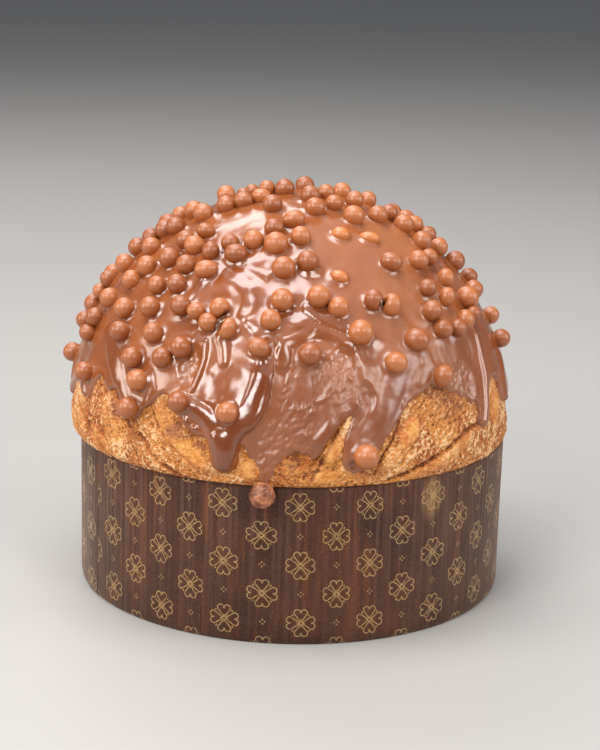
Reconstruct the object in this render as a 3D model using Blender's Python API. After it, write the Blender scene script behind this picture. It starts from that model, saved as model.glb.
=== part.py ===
"""A domed panettone in its paper baking case, under a poured chocolate coating with chocolate balls.

Metres, +Z up. The origin is the centre of the case's base, and the front of the loaf faces -Y.
A bearing is an angle round the loaf, 0 at the front and growing towards +X. The dome is one turned
surface, and an offset is a distance from it along its normal, positive outwards.
"""

import math
import random

import bmesh
import bpy
from mathutils import Euler, Matrix, Vector, noise

# Paper case
CASE_RADIUS = 0.085
CASE_HEIGHT = 0.061
CASE_WALL = 0.0012
CASE_SIDES = 96
FIT_GAP = 0.0003

# Dome: a superellipse turned round an axis a little to the left of the case's own
DOME_RADIUS = 0.0881
DOME_LEVEL = 0.064
DOME_RISE = 0.0899
DOME_POWER = 1.96
DOME_SHIFT = -0.0014
RIM_TUCK = 0.0015

# Bread
CRUST_INSET = 0.0014
COVERED_INSET = 0.0030
COVER_FADE = 0.009
BAND_STEP = 0.0052
LUMP_LENGTH = 0.013
LUMP_DEPTH = 0.0016
CREASE_DEPTH = 0.0028
CREASE_HALF_WIDTH = 0.0030
CREASE_COUNT = 11
CREASE_JITTER = 0.2
CREASE_LEVELS = (0.068, 0.078)
STEEPEST_CREASE = 0.0009
# The long fold on the right: bearing in degrees, height there, and climb for each degree
LONG_FOLD = (40.0, 0.0705, 0.0006)
FOLD_REACH = 14.0

# Coating
COATING_OFFSET = 0.0006
DRIP_SWELL = 0.0007
SWELLING_DROP = 0.008
BREAD_GAP = 0.0008
EDGE_ROUND = 0.0012
EDGE_LEVEL = 0.083
# Where the edge swings up or down: bearing and half width in degrees, then the rise
EDGE_WAVES = (
    (-58.0, 6.0, 0.007),
    (-33.0, 5.0, 0.010),
    (-5.0, 18.0, -0.008),
    (50.0, 15.0, 0.014),
)
# Drips that hang below that edge at the front: bearing and half width in degrees, then the drop
FRONT_DRIPS = (
    (-66.0, 3.5, 0.005),
    (-44.0, 5.0, 0.005),
    (-16.5, 4.5, 0.011),
    (-6.8, 3.0, 0.013),
    (16.0, 5.0, 0.015),
    (58.6, 2.4, 0.018),
    (78.0, 4.0, 0.006),
)
BACK_START = 94.0
BACK_END = 284.0
BACK_SPACING = 19.0
BACK_JITTER = (0.7, 1.3)
BACK_HALF_WIDTHS = (3.0, 6.0)
BACK_DROPS = (0.003, 0.014)
DRIP_POWER = 4.0
# Where each drip's outline is sampled, in half widths from its middle
DRIP_SAMPLES = (-1.1, -0.8, -0.35, 0.35, 0.8, 1.1)
PLAIN_BEARINGS = 64
LEAST_STEP = 2.0

# Balls
BALL_RADIUS = 0.0041
BALL_SPREAD = 0.0003
BALL_OFFSET = 0.0026
BALL_SPACING = 0.0081
BALL_COUNT = 182
BALL_TRIES = 20000
# A twenty-sided ball is made this much larger, to stand as wide as the round one
BALL_FACETING = 1.07
BLOB_SIDES = 8
BLOB_RINGS = 6
BALL_CLEARANCE = 0.0004
# The nearly bare field low on the front: its middle and half width in degrees, and where it ends above
BARE_MIDDLE = 8.0
BARE_HALF_WIDTH = 42.0
BARE_TOP = 0.122
BARE_FADE = 0.020
BARE_THINNING = 0.88
# The thinly set strip above the coating's edge
EDGE_STRIP = 0.004
EDGE_FADE = 0.012
EDGE_THINNING = 0.9
LEAST_SHARE = 0.04
# Lone balls on the front drips: bearing in degrees, height and radius
LOW_BALLS = (
    (-43.8, 0.0830, 0.0042),
    (17.2, 0.0745, 0.0047),
    (-14.5, 0.0895, 0.0042),
)
# The blob that hangs from the longest drip, in front of the case: bearing in degrees, height and radius
BLOB = (-6.5, 0.0589, 0.0049)
BLOB_GAP = 0.0004

# Rings
FINE = 108
DOME_TURNS = [math.radians(26 + 13 * step) for step in range(5)]
SKIRT_ROWS = 3

SEED = 11


def smooth_step(value):
    """0 up to 0, 1 from 1, and an S-curve between."""
    value = min(max(value, 0.0), 1.0)
    return value * value * (3 - 2 * value)


def turned(bearing, reach, height):
    """The point at a distance from the case's axis."""
    return Vector((reach * math.sin(bearing), -reach * math.cos(bearing), height))


def degrees_between(bearing, middle):
    """Signed angle in degrees from a middle, given in degrees, to a bearing in radians."""
    return (math.degrees(bearing) - middle + 180) % 360 - 180


def dome_radius(height):
    """Radius of the dome at a height, with its tuck-in just above the rim."""
    if height < DOME_LEVEL:
        tuck = (DOME_LEVEL - height) / (DOME_LEVEL - CASE_HEIGHT)
        return DOME_RADIUS - RIM_TUCK * tuck * tuck
    rise = min((height - DOME_LEVEL) / DOME_RISE, 1.0)
    return DOME_RADIUS * (1 - rise**DOME_POWER) ** (1 / DOME_POWER)


def dome_point(bearing, height, offset, hanging=False):
    """A point beside the dome at a height. What hangs falls straight below the dome's widest level."""
    radius = DOME_RADIUS if hanging and height < DOME_LEVEL else dome_radius(height)
    out = (radius / DOME_RADIUS) ** (DOME_POWER - 1) / DOME_RADIUS
    up = (max(height - DOME_LEVEL, 0) / DOME_RISE) ** (DOME_POWER - 1) / DOME_RISE
    normal = Vector((out, up)).normalized()
    point = turned(bearing, radius + offset * normal.x, height + offset * normal.y)
    return point + Vector((DOME_SHIFT, 0, 0))


def turn_height(turn):
    """Height of the dome at an angle of its turned outline, 0 at its widest and pi / 2 at the top."""
    return DOME_LEVEL + DOME_RISE * math.sin(turn) ** (2 / DOME_POWER)


def back_drips():
    """Drips round the back, spaced and sized by a seeded draw."""
    draw = random.Random(SEED)
    drips = []
    middle = BACK_START
    while middle < BACK_END:
        drips.append((middle, draw.uniform(*BACK_HALF_WIDTHS), draw.uniform(*BACK_DROPS)))
        middle += BACK_SPACING * draw.uniform(*BACK_JITTER)
    return drips


DRIPS = list(FRONT_DRIPS) + back_drips()


def settled_edge(bearing):
    """Height of the coating's edge without its narrow drips."""
    height = EDGE_LEVEL
    for middle, half_width, rise in EDGE_WAVES:
        away = degrees_between(bearing, middle) / half_width
        height += rise * math.exp(-away * away)
    return height


def drip_drop(bearing):
    """How far the drips carry the edge down."""
    drop = 0.0
    for middle, half_width, depth in DRIPS:
        away = abs(degrees_between(bearing, middle)) / half_width
        drop = max(drop, depth * math.exp(-(away**DRIP_POWER)))
    return drop


def coating_edge(bearing):
    return max(settled_edge(bearing) - drip_drop(bearing), CASE_HEIGHT + FIT_GAP)


def bread_offset(bearing, height):
    """The bread lies deeper where the coating covers it."""
    cover = smooth_step((height - settled_edge(bearing)) / COVER_FADE)
    return -(CRUST_INSET + (COVERED_INSET - CRUST_INSET) * cover)


def creases():
    """Folds round the crust as (bearing in degrees, height, climb for each degree)."""
    draw = random.Random(SEED + 1)
    folds = [LONG_FOLD]
    for index in range(CREASE_COUNT):
        middle = LONG_FOLD[0] + 360 * (index + 1 + draw.uniform(-CREASE_JITTER, CREASE_JITTER)) / (
            CREASE_COUNT + 1
        )
        climb = draw.uniform(-STEEPEST_CREASE, STEEPEST_CREASE)
        folds.append((middle, draw.uniform(*CREASE_LEVELS), climb))
    return folds


CREASES = creases()


def crust_depth(bearing, height):
    """Depth of the crust's lumps and folds, none at the rim or under the coating."""
    lump = noise.noise(dome_point(bearing, height, 0) / LUMP_LENGTH)
    depth = LUMP_DEPTH * (0.5 + lump)
    for middle, level, climb in CREASES:
        along = degrees_between(bearing, middle)
        across = (height - level - climb * along) / CREASE_HALF_WIDTH
        depth += CREASE_DEPTH * math.exp(-across * across - (along / FOLD_REACH) ** 4)
    shown = 1 - smooth_step((height - settled_edge(bearing)) / COVER_FADE)
    above_rim = smooth_step((height - CASE_HEIGHT - FIT_GAP) / BAND_STEP)
    return max(depth, 0) * shown * above_rim


def even_bearings(count):
    return [2 * math.pi * step / count for step in range(count)]


def edge_bearings():
    """Bearings round the coating: evenly spaced, with more where a drip bends the edge."""
    wanted = {360 * step / PLAIN_BEARINGS: False for step in range(PLAIN_BEARINGS)}
    for middle, half_width, _ in DRIPS:
        for sample in DRIP_SAMPLES:
            wanted[(middle + half_width * sample) % 360] = True
    kept = []
    for bearing in sorted(wanted):
        if kept and bearing - kept[-1] < LEAST_STEP:
            if not wanted[bearing] or wanted[kept[-1]]:
                continue
            kept.pop()
        kept.append(bearing)
    if len(kept) % 2:
        kept.append((kept[-1] + 360) / 2)
    return [math.radians(bearing) for bearing in kept]


def ring(mesh, bearings, place):
    """A closed ring of points, one at each bearing."""
    return [mesh.verts.new(place(bearing)) for bearing in bearings]


def band(mesh, lower, upper):
    """Faces between two rings. Where one ring has twice the points, each of its pairs meets one."""
    most = max(len(lower), len(upper))
    down = most // len(lower)
    above = most // len(upper)
    for step in range(most):
        after = (step + 1) % most
        corners = [lower[step // down], lower[after // down], upper[after // above], upper[step // above]]
        mesh.faces.new(list(dict.fromkeys(corners)))


def fan(mesh, edge, centre):
    """Faces from a ring to one point."""
    tip = mesh.verts.new(centre)
    for step, corner in enumerate(edge):
        mesh.faces.new((corner, edge[(step + 1) % len(edge)], tip))


def object_from(mesh, name, material):
    """An object from the mesh, its quads split into triangles and its faces pointing out."""
    bmesh.ops.triangulate(mesh, faces=mesh.faces)
    bmesh.ops.recalc_face_normals(mesh, faces=mesh.faces)
    data = bpy.data.meshes.new(name)
    mesh.to_mesh(data)
    mesh.free()
    data.materials.append(material)
    made = bpy.data.objects.new(name, data)
    bpy.context.scene.collection.objects.link(made)
    return made


def plain_material(name, colour, roughness):
    material = bpy.data.materials.new(name)
    material.use_nodes = True
    shader = material.node_tree.nodes["Principled BSDF"]
    shader.inputs["Base Color"].default_value = (*colour, 1)
    shader.inputs["Roughness"].default_value = roughness
    shader.inputs["Metallic"].default_value = 0
    material.diffuse_color = (*colour, 1)
    return material


def make_case(material):
    """The open cup of brown paper, with its flat floor."""
    mesh = bmesh.new()
    inner = CASE_RADIUS - CASE_WALL
    bearings = even_bearings(CASE_SIDES)
    sections = (
        (CASE_RADIUS, 0.0),
        (CASE_RADIUS, CASE_HEIGHT),
        (inner, CASE_HEIGHT),
        (inner, CASE_WALL),
    )
    rings = [
        ring(mesh, bearings, lambda bearing, s=section: turned(bearing, *s)) for section in sections
    ]
    fan(mesh, rings[0], (0, 0, 0))
    for lower, upper in zip(rings, rings[1:]):
        band(mesh, lower, upper)
    fan(mesh, rings[-1], (0, 0, CASE_WALL))
    return object_from(mesh, "paper_case", material)


def crust_point(bearing, height):
    return dome_point(bearing, height, bread_offset(bearing, height) - crust_depth(bearing, height))


def make_bread(material):
    """The loaf: its body fills the case, and its crown swells over the rim."""
    mesh = bmesh.new()
    body = CASE_RADIUS - CASE_WALL - FIT_GAP
    floor = CASE_WALL + FIT_GAP
    rim = CASE_HEIGHT + FIT_GAP
    shoulder = turn_height(DOME_TURNS[0])
    steps = round((shoulder - rim) / BAND_STEP)
    fine = even_bearings(FINE)
    coarse = fine[::2]
    rings = [
        ring(mesh, coarse, lambda bearing: turned(bearing, body, floor)),
        ring(mesh, fine, lambda bearing: turned(bearing, body, rim)),
    ]
    for step in range(steps):
        height = rim + (shoulder - rim) * step / steps
        rings.append(ring(mesh, fine, lambda bearing, h=height: crust_point(bearing, h)))
    for turn in DOME_TURNS:
        height = turn_height(turn)
        rings.append(ring(mesh, coarse, lambda bearing, h=height: crust_point(bearing, h)))
    fan(mesh, rings[0], (0, 0, floor))
    for lower, upper in zip(rings, rings[1:]):
        band(mesh, lower, upper)
    fan(mesh, rings[-1], crust_point(0, DOME_LEVEL + DOME_RISE))
    return object_from(mesh, "bread", material)


def swell(bearing, height):
    """The drips are thicker near their ends."""
    settled = settled_edge(bearing)
    low = smooth_step((settled - height) / COVER_FADE + 0.5)
    return DRIP_SWELL * low * min(drip_drop(bearing) / SWELLING_DROP, 1)


def outer_point(bearing, height):
    return dome_point(bearing, height, COATING_OFFSET + swell(bearing, height), hanging=True)


def inner_point(bearing, height):
    return dome_point(bearing, height, bread_offset(bearing, height) + BREAD_GAP)


def skirt_height(bearing, share, lowest):
    """Height part of the way down from the shoulder to just above the edge."""
    shoulder = turn_height(DOME_TURNS[0])
    low = coating_edge(bearing) + lowest
    return shoulder + (low - shoulder) * share


def edge_point(bearing):
    """The middle of the coating's rounded lower edge."""
    height = coating_edge(bearing)
    return (outer_point(bearing, height) + inner_point(bearing, height)) / 2


def make_shell():
    """The poured coating without its balls: a closed shell with a rounded, dripping edge."""
    mesh = bmesh.new()
    fine = edge_bearings()
    coarse = fine[::2]
    rings = []
    for turn in reversed(DOME_TURNS):
        height = turn_height(turn)
        rings.append(ring(mesh, coarse, lambda bearing, h=height: outer_point(bearing, h)))
    for row in range(SKIRT_ROWS):
        share = (row + 1) / SKIRT_ROWS
        rings.append(
            ring(mesh, fine, lambda b, s=share: outer_point(b, skirt_height(b, s, EDGE_ROUND)))
        )
    rings.append(ring(mesh, fine, edge_point))
    for row in reversed(range(SKIRT_ROWS)):
        share = (row + 1) / SKIRT_ROWS
        rings.append(
            ring(mesh, fine, lambda b, s=share: inner_point(b, skirt_height(b, s, EDGE_ROUND / 2)))
        )
    for turn in DOME_TURNS:
        height = turn_height(turn)
        rings.append(ring(mesh, coarse, lambda bearing, h=height: inner_point(bearing, h)))
    fan(mesh, rings[0], outer_point(0, DOME_LEVEL + DOME_RISE))
    for lower, upper in zip(rings, rings[1:]):
        band(mesh, lower, upper)
    fan(mesh, rings[-1], inner_point(0, DOME_LEVEL + DOME_RISE))
    return mesh


def ball_share(bearing, height):
    """How thickly the balls lie: 1 over the top and sides, few low down and on the front."""
    front = math.exp(-((degrees_between(bearing, BARE_MIDDLE) / BARE_HALF_WIDTH) ** 4))
    low_front = front * (1 - smooth_step((height - BARE_TOP) / BARE_FADE))
    above_edge = height - settled_edge(bearing)
    near_edge = 1 - smooth_step((above_edge - EDGE_STRIP) / EDGE_FADE)
    return max(1 - BARE_THINNING * low_front - EDGE_THINNING * near_edge, LEAST_SHARE)


def scattered_balls():
    """Centres and radii by a seeded draw over the dome, none nearer another than they can lie."""
    draw = random.Random(SEED + 2)
    balls = []
    for bearing, height, radius in LOW_BALLS:
        lift = ball_lift(math.radians(bearing), height, radius)
        balls.append((dome_point(math.radians(bearing), height, lift), radius))
    for _ in range(BALL_TRIES):
        if len(balls) == BALL_COUNT:
            break
        bearing = draw.uniform(-math.pi, math.pi)
        height = draw.uniform(EDGE_LEVEL, DOME_LEVEL + DOME_RISE)
        if height < coating_edge(bearing) + BALL_RADIUS or draw.random() > ball_share(bearing, height):
            continue
        radius = BALL_RADIUS + draw.uniform(-BALL_SPREAD, BALL_SPREAD)
        centre = dome_point(bearing, height, ball_lift(bearing, height, radius))
        if all((centre - other).length > BALL_SPACING for other, _ in balls):
            balls.append((centre, radius))
    return sorted(balls, key=lambda ball: -ball[1])


def ball_lift(bearing, height, radius):
    """Offset of a ball's centre that keeps its underside inside the coating."""
    clear = bread_offset(bearing, height) + BREAD_GAP + BALL_CLEARANCE + radius
    return max(BALL_OFFSET, clear)


def add_topping(mesh, centre, turn, collection):
    """Turns and moves the mesh to its place, as an object of the collection."""
    bmesh.ops.rotate(mesh, verts=mesh.verts, cent=(0, 0, 0), matrix=turn)
    bmesh.ops.translate(mesh, verts=mesh.verts, vec=centre)
    bmesh.ops.triangulate(mesh, faces=mesh.faces)
    data = bpy.data.meshes.new("topping")
    mesh.to_mesh(data)
    mesh.free()
    collection.objects.link(bpy.data.objects.new("topping", data))


def add_balls(collection):
    draw = random.Random(SEED + 3)
    for centre, radius in scattered_balls():
        mesh = bmesh.new()
        bmesh.ops.create_icosphere(mesh, subdivisions=1, radius=radius * BALL_FACETING)
        turn = Euler([draw.uniform(0, math.pi) for _ in range(3)]).to_matrix()
        add_topping(mesh, centre, turn, collection)


def add_blob(collection):
    """The lump that hangs from the longest drip, clear of the case."""
    bearing, height, radius = BLOB
    mesh = bmesh.new()
    bmesh.ops.create_uvsphere(mesh, u_segments=BLOB_SIDES, v_segments=BLOB_RINGS, radius=radius)
    centre = turned(math.radians(bearing), CASE_RADIUS + BLOB_GAP + radius, height)
    add_topping(mesh, centre, Matrix.Identity(3), collection)


def make_coating(material):
    """The shell with its balls and its hanging blob joined on."""
    coating = object_from(make_shell(), "chocolate_coating", material)
    toppings = bpy.data.collections.new("toppings")
    bpy.context.scene.collection.children.link(toppings)
    add_balls(toppings)
    add_blob(toppings)
    join_all(coating, toppings)
    return coating


def join_all(base, toppings):
    """One Boolean union of the base with every object of the collection, then applied."""
    union = base.modifiers.new("toppings", "BOOLEAN")
    union.operation = "UNION"
    union.operand_type = "COLLECTION"
    union.collection = toppings
    union.solver = "EXACT"
    graph = bpy.context.evaluated_depsgraph_get()
    joined = bpy.data.meshes.new_from_object(base.evaluated_get(graph))
    base.modifiers.clear()
    base.data = joined
    for piece in list(toppings.objects):
        bpy.data.objects.remove(piece, do_unlink=True)
    bpy.data.collections.remove(toppings)


def shade(made, angle):
    """Smooth shading, with real edges kept."""
    made.data.shade_smooth()
    made.data.set_sharp_from_angle(angle=math.radians(angle))


def main():
    for old in list(bpy.data.objects):
        bpy.data.objects.remove(old, do_unlink=True)
    paper = plain_material("case_paper", (0.115, 0.060, 0.038), 0.75)
    crust = plain_material("bread_crust", (0.55, 0.27, 0.09), 0.85)
    chocolate = plain_material("milk_chocolate", (0.24, 0.085, 0.040), 0.30)
    shade(make_case(paper), 40)
    shade(make_bread(crust), 60)
    shade(make_coating(chocolate), 50)


main()
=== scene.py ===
"""The looks of a chocolate-coated panettone in its paper case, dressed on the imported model.

Metres, +Z up, front towards -Y. A bearing is an angle round the loaf, 0 at the front and growing
towards +X. An offset is a distance from the dome along its normal, positive outwards. A flat place is
a point of the unrolled dome: the way round and the way up. A pixel is one of a 600 by 750 picture
taken with this script's camera.
"""

import math
import random
from collections import namedtuple
from functools import partialmethod

import bmesh
import bpy
import numpy as np
from mathutils import Matrix, Vector


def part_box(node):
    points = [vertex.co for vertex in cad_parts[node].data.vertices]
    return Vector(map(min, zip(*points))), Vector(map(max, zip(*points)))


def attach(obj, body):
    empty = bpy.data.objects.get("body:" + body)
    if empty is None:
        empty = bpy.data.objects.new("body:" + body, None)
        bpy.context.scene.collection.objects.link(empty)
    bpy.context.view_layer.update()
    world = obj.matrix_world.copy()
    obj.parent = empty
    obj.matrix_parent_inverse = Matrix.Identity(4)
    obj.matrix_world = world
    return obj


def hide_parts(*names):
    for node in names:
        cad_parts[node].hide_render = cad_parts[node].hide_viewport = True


MM = 0.001
SEED = 11
# More than any distance that is measured
FAR = 9.0
# Last row of the shuffled tables that the noises read
TABLE_MASK = 255

# Camera
PICTURE = (600, 750)
SENSOR = 36.0
FOCAL_PIXELS = 1895.1
CAMERA_PLACE = np.array((0.0024, -0.7347, 0.2714))
CAMERA_DOWN = math.radians(14.54)
CAMERA_ROLL = math.radians(1.64)

# Dome, as in the solids
DOME_RADIUS = 0.0881
DOME_LEVEL = 0.064
DOME_RISE = 0.0899
DOME_POWER = 1.96
DOME_SHIFT = -0.0014
RIM_TUCK = 0.0015
FLAT_RADIUS = DOME_RADIUS * 0.97
LAP = 2 * math.pi * FLAT_RADIUS

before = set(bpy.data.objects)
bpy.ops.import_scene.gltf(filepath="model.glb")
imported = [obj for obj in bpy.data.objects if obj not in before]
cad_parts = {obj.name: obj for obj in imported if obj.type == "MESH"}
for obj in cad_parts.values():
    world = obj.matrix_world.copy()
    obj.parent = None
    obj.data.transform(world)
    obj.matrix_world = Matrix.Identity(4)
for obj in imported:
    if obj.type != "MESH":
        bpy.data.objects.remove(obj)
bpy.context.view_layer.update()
CASE_RADIUS, _, CASE_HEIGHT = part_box("paper_case")[1]

# Slot name given for the chocolate pieces but not set on them, and the node that they stand for
COATING = ("milk_chocolate", "chocolate_coating")


# Helpers

def smooth_step(value):
    value = np.clip(value, 0, 1)
    return value * value * (3 - 2 * value)


def length(vectors):
    return np.linalg.norm(vectors, axis=-1)


def unit(vectors):
    return vectors / length(vectors)[..., None]


def stacked(*columns):
    return np.stack(np.broadcast_arrays(*columns), axis=-1)


def scrambled(cell, order):
    """A row of a shuffled table for each cell of a grid."""
    right, back, up = (cell & TABLE_MASK).T
    return order[(order[(order[right] + back) & TABLE_MASK] + up) & TABLE_MASK]


def noise(points, seed):
    """Gradient noise at an array of places, about -0.7 to 0.7, with features about one unit across."""
    draw = np.random.default_rng(seed)
    slopes = unit(draw.normal(size=(TABLE_MASK + 1, 3)))
    order = draw.permutation(TABLE_MASK + 1)
    cell = np.floor(points).astype(int)
    part = points - cell
    fade = part**3 * (part * (part * 6 - 15) + 10)
    total = np.zeros(len(points))
    for corner in np.ndindex(2, 2, 2):
        weight = np.prod(np.where(np.array(corner) == 1, fade, 1 - fade), axis=1)
        total += weight * ((part - corner) * slopes[scrambled(cell + corner, order)]).sum(axis=1)
    return total


def layered_noise(points, seed, layers=3):
    return sum(noise(points * 2.03**layer, seed + layer) / 2**layer for layer in range(layers))


def cells(points, seed):
    """Distance from each place to the nearest of scattered points, one in each unit cell."""
    draw = np.random.default_rng(seed)
    spots = draw.random((TABLE_MASK + 1, 3))
    order = draw.permutation(TABLE_MASK + 1)
    cell = np.floor(points).astype(int)
    nearest = np.full(len(points), FAR)
    for step in np.ndindex(3, 3, 3):
        at = cell + np.array(step) - 1
        nearest = np.minimum(nearest, length(at + spots[scrambled(at, order)] - points))
    return nearest


def placed(name, data):
    """A new object in the scene."""
    thing = bpy.data.objects.new(name, data)
    bpy.context.scene.collection.objects.link(thing)
    return thing


def make_piece(name, points, faces, material, slot, stands_for, **painted):
    """A smooth-shaded piece from arrays of points and triangles. Points that no face uses are dropped.
    What is painted is a number for each point, which the material reads."""
    used, faces = np.unique(faces, return_inverse=True)
    data = bpy.data.meshes.new(name)
    data.vertices.add(len(used))
    data.vertices.foreach_set("co", points[used].astype(np.float32).ravel())
    data.loops.add(faces.size)
    data.loops.foreach_set("vertex_index", faces.astype(np.int32).ravel())
    data.polygons.add(faces.size // 3)
    data.polygons.foreach_set("loop_start", np.arange(0, faces.size, 3, dtype=np.int32))
    data.update(calc_edges=True)
    data.validate()
    data.shade_smooth()
    data.materials.append(material)
    for key, values in painted.items():
        layer = data.attributes.new(key, "FLOAT", "POINT")
        layer.data.foreach_set("value", values[used].astype(np.float32))
    piece = placed(name, data)
    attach(piece, "root")
    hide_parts(stands_for)


# Camera and pixels

def camera_axes():
    ahead = np.array((0, math.cos(CAMERA_DOWN), -math.sin(CAMERA_DOWN)))
    level = np.array((1.0, 0, 0))
    upright = np.cross(level, ahead)
    turn_cos = math.cos(CAMERA_ROLL)
    turn_sin = math.sin(CAMERA_ROLL)
    return level * turn_cos + upright * turn_sin, upright * turn_cos - level * turn_sin, ahead


CAMERA_RIGHT, CAMERA_UP, CAMERA_AHEAD = camera_axes()


def make_camera():
    data = bpy.data.cameras.new("camera")
    data.sensor_fit = "VERTICAL"
    data.sensor_height = SENSOR
    data.lens = FOCAL_PIXELS * SENSOR / PICTURE[1]
    camera = placed("camera", data)
    axes = Matrix((CAMERA_RIGHT, CAMERA_UP, -CAMERA_AHEAD)).transposed().to_4x4()
    camera.matrix_world = Matrix.Translation(CAMERA_PLACE) @ axes
    bpy.context.scene.camera = camera


def pixel_rays(pixels):
    """Directions from the camera through pixels."""
    across = (pixels[:, 0] - PICTURE[0] / 2) / FOCAL_PIXELS
    down = (pixels[:, 1] - PICTURE[1] / 2) / FOCAL_PIXELS
    return unit(CAMERA_AHEAD + across[:, None] * CAMERA_RIGHT - down[:, None] * CAMERA_UP)


def pixels_of(places):
    away = places - CAMERA_PLACE
    scale = FOCAL_PIXELS / (away @ CAMERA_AHEAD)
    return stacked(PICTURE[0] / 2 + away @ CAMERA_RIGHT * scale, PICTURE[1] / 2 - away @ CAMERA_UP * scale)


# The dome

def around(radius, bearing, height):
    """Places at a radius from the middle axis."""
    return stacked(radius * np.sin(bearing), -radius * np.cos(bearing), height)


def dome_radius(height, tucked=False):
    """Radius of the dome at heights. It falls straight below the widest level unless it is tucked in."""
    tuck = np.clip((DOME_LEVEL - height) / (DOME_LEVEL - CASE_HEIGHT), 0, 1.5)
    rise = np.clip((height - DOME_LEVEL) / DOME_RISE, 0, 1)
    above = DOME_RADIUS * (1 - rise**DOME_POWER) ** (1 / DOME_POWER)
    return above - RIM_TUCK * tuck * tuck if tucked else above


def dome_normal(bearing, height):
    out = (dome_radius(height) / DOME_RADIUS) ** (DOME_POWER - 1) / DOME_RADIUS
    up = (np.clip(height - DOME_LEVEL, 0, DOME_RISE) / DOME_RISE) ** (DOME_POWER - 1) / DOME_RISE
    return unit(around(out, bearing, up))


def dome_points(bearing, height, offset, tucked=False):
    middle = around(dome_radius(height, tucked), bearing, height) + (DOME_SHIFT, 0, 0)
    return middle + np.asarray(offset)[..., None] * dome_normal(bearing, height)


def dome_sizes(points):
    """How far places are from the axis and above the widest level, and the share of the dome's size."""
    out = np.hypot(points[:, 0] - DOME_SHIFT, points[:, 1])
    rise = np.clip(points[:, 2] - DOME_LEVEL, 0, None)
    share = ((out / DOME_RADIUS) ** DOME_POWER + (rise / DOME_RISE) ** DOME_POWER) ** (1 / DOME_POWER)
    return out, rise, share


def beyond_dome(points):
    """Rough signed distance from the dome, for finding where a ray meets it."""
    out, rise, share = dome_sizes(points)
    return (share - 1) * np.hypot(out, rise) / np.maximum(share, 0.05)


def polar_of(points):
    """Bearings and heights of the dome's points nearest to places beside it."""
    _, rise, share = dome_sizes(points)
    bearing = np.arctan2(points[:, 0] - DOME_SHIFT, -points[:, 1])
    height = np.where(points[:, 2] > DOME_LEVEL, DOME_LEVEL + rise / np.maximum(share, 0.05), points[:, 2])
    return bearing, np.minimum(height, DOME_LEVEL + DOME_RISE * 0.9999)


def on_dome(pixels, offset=0.0):
    """Bearings, heights and distances ahead where pixels see the surface this far off the dome.
    A ray that passes the dome by takes the place where it comes nearest."""
    rays = pixel_rays(np.asarray(pixels, float))
    reach = np.linspace(0.60, 0.86, 521)
    away = np.stack([beyond_dome(CAMERA_PLACE + rays * step) for step in reach]) - offset
    met = (away <= 0).any(axis=0)
    first = np.where(met, (away <= 0).argmax(axis=0), away.argmin(axis=0))
    near = reach[np.maximum(first - 1, 0)]
    far = reach[first]
    for _ in range(18):
        middle = (near + far) / 2
        inside = beyond_dome(CAMERA_PLACE + rays * middle[:, None]) <= offset
        far = np.where(inside, middle, far)
        near = np.where(inside, near, middle)
    places = CAMERA_PLACE + rays * np.where(met, far, reach[first])[:, None]
    return *polar_of(places), (places - CAMERA_PLACE) @ CAMERA_AHEAD


def meridian():
    """Heights of the dome against the way up along it from the widest level."""
    angle = np.linspace(0, math.pi / 2, 2000)
    height = DOME_LEVEL + DOME_RISE * np.sin(angle) ** (2 / DOME_POWER)
    radius = DOME_RADIUS * np.cos(angle) ** (2 / DOME_POWER)
    return np.append(0, np.cumsum(np.hypot(np.diff(height), np.diff(radius)))), height


MERIDIAN_WAY, MERIDIAN_HEIGHT = meridian()


def unrolled(bearing, height):
    up = np.interp(height, MERIDIAN_HEIGHT, MERIDIAN_WAY)
    return stacked(bearing * FLAT_RADIUS, np.where(height < DOME_LEVEL, height - DOME_LEVEL, up))


def flat_places(pixels):
    """Flat places that pixels see, and the size of a pixel there."""
    bearing, height, ahead = on_dome(pixels)
    return unrolled(bearing, height), ahead / FOCAL_PIXELS


def turned(places, angle):
    """Ways along and across a direction."""
    right, up = places.T
    return right * math.cos(angle) + up * math.sin(angle), up * math.cos(angle) - right * math.sin(angle)


def beside_segment(places, start, end):
    """The share of a segment at which each place lies beside it, and the way from there to the place."""
    way = end - start
    along = np.clip((places - start) @ way / max(way @ way, 1e-12), 0, 1)
    return along, places - start - along[:, None] * way


def to_line(places, line):
    """Distance from each place to a line, and how many times the line runs below the place."""
    distance = np.full(len(places), FAR)
    below = np.zeros(len(places), int)
    for start, end in zip(line[:-1], line[1:]):
        distance = np.minimum(distance, length(beside_segment(places, start, end)[1]))
        way = end - start
        if way[0]:
            share = (places[:, 0] - start[0]) / way[0]
            below += (share >= 0) & (share < 1) & (start[1] + share * way[1] < places[:, 1])
    return distance, below


# Meshes in rings

FRONT_CROWDING = 0.35


def full_turn(count):
    return np.arange(count) * 2 * math.pi / count - math.pi


def ring_mesh(heights, widths, most, spacing):
    """Rings of points up a turned shape, with half as many points where it gets narrow.
    Returns each point's bearing and height, the triangles, and the start and count of the last ring."""
    bearings = []
    levels = []
    triangles = []
    start = 0
    count = most
    for height, width in zip(heights, widths):
        before = count
        count = most
        while count > 24 and 2 * math.pi * width / count < spacing * 0.71:
            count //= 2
        count = min(max(count, before // 2), before)
        turn = full_turn(count)
        bearings.append(turn - FRONT_CROWDING * np.sin(turn))
        levels.append(np.full(count, height))
        if start:
            triangles.append(between(start - before, before, start, count))
        start += count
    return np.concatenate(bearings), np.concatenate(levels), np.concatenate(triangles), (start - count, count)


def between(low, low_count, high, high_count):
    """Triangles between a ring and the next one up, which has as many points or half as many."""
    step = np.arange(high_count)
    after = high + (step + 1) % high_count
    step_up = high + step
    if low_count == high_count:
        right = low + (step + 1) % low_count
        sides = [(low + step, right, after), (low + step, after, step_up)]
    else:
        left = low + 2 * step
        right = low + (2 * step + 2) % low_count
        sides = [(left, left + 1, step_up), (left + 1, after, step_up), (left + 1, right, after)]
    return np.concatenate([stacked(*side) for side in sides])


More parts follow.
